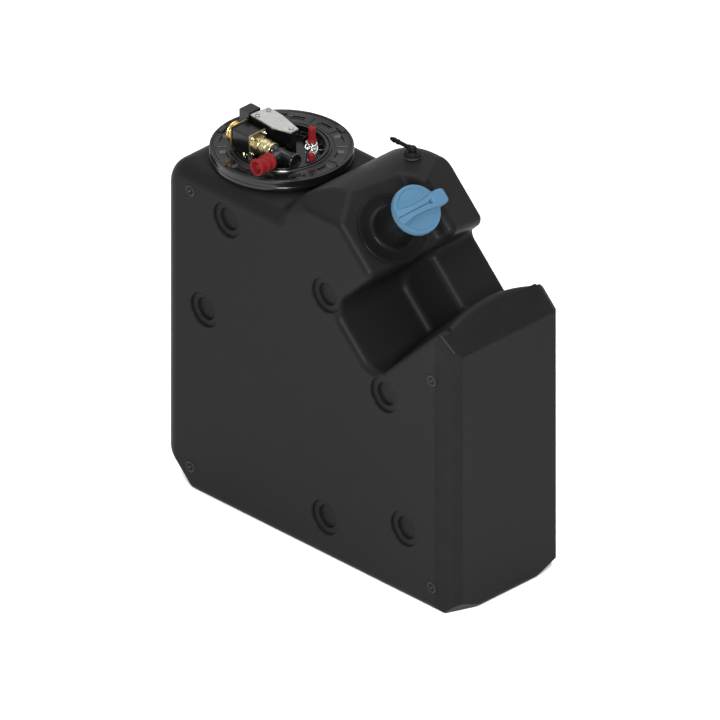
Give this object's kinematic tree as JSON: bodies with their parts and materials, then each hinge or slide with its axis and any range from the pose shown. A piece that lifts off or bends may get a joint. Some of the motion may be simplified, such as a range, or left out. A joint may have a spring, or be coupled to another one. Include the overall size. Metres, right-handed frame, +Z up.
{
  "type": "vehicle fluid tank",
  "caption": "Tall moulded fluid tank with a slanted filler neck and turn cap, a round sender header with coolant valve, and a small barbed vent.",
  "frame": {"origin": "centre of the tank's bounding box on its bottom plane", "axes": "+X along the tank towards the filler end, +Y across it to the rear broad face, +Z up"},
  "size_m": [0.576, 0.218, 0.6129],
  "materials": {
    "black_plastic": "fine satin grain",
    "dark_plastic": "semi-gloss",
    "grey_plastic": "semi-gloss",
    "rubber": "matte",
    "seal_orange": "matte",
    "cap_blue": "satin",
    "cap_red": "satin",
    "brass": "machined",
    "plated_gold": "plated",
    "bright_metal": "brushed",
    "steel": "brushed",
    "mesh_white": "matte"
  },
  "bodies": {
    "tank": {"tank_shell": "black_plastic", "mouth_collar": "black_plastic", "mounting_inserts": "brass", "header_gasket": "rubber", "header_plate": "dark_plastic", "support_webs": "dark_plastic", "valve_coil": "dark_plastic", "coil_frame": "plated_gold", "coil_cap": "dark_plastic", "coil_end_rings": "plated_gold", "valve_body": "brass", "valve_barrel": "dark_plastic", "sensor_housing": "dark_plastic", "cover_plate": "bright_metal", "cover_screws": "steel", "connector_box": "dark_plastic", "tall_port_stub": "bright_metal", "small_port_stub": "bright_metal", "hose_clips": "bright_metal", "brass_fittings": "brass", "suction_tube": "dark_plastic", "filter_sock": "mesh_white", "return_tube": "dark_plastic", "coolant_loop": "steel", "sensor_stem": "steel", "stem_stops": "dark_plastic", "quality_sensor": "dark_plastic", "neck_flange_seal": "rubber", "filler_neck": "black_plastic", "filler_strainer": "mesh_white", "vent_grommet": "rubber", "vent_elbow": "black_plastic"},
    "lock_ring_body": {"lock_ring": "grey_plastic"},
    "side_cap": {"side_port_cap": "cap_red"},
    "tall_cap": {"tall_port_cap": "cap_red"},
    "small_cap": {"small_port_cap": "cap_red"},
    "float": {"level_float": "dark_plastic"},
    "plug": {"cap_plug": "dark_plastic", "cap_seal": "seal_orange"},
    "cap": {"filler_cap": "cap_blue"}
  },
  "joints": [
    {"name": "lock_ring_turn", "type": "hinge", "parent": "tank", "child": "lock_ring_body", "pos_m": [-0.161, 0, 0.535], "axis": [0, 0, 1], "range_deg": [0, 30]},
    {"name": "side_cap_pull", "type": "slide", "parent": "tank", "child": "side_cap", "axis": [0, -1, 0], "range_m": [0, 0.03]},
    {"name": "tall_cap_pull", "type": "slide", "parent": "tank", "child": "tall_cap", "axis": [0, 0, 1], "range_m": [0, 0.03]},
    {"name": "small_cap_pull", "type": "slide", "parent": "tank", "child": "small_cap", "axis": [0, 0, 1], "range_m": [0, 0.02]},
    {"name": "float_rise", "type": "slide", "parent": "tank", "child": "float", "axis": [0, 0, 1], "range_m": [0, 0.413]},
    {"name": "plug_lift", "type": "slide", "parent": "tank", "child": "plug", "axis": [0.7037, -0.0985, 0.7037], "range_m": [0, 0.06]},
    {"name": "cap_turn", "type": "hinge", "parent": "plug", "child": "cap", "pos_m": [0.0955, -0.04, 0.5269], "axis": [0.7037, -0.0985, 0.7037], "range_deg": [-90, 0]}
  ]
}
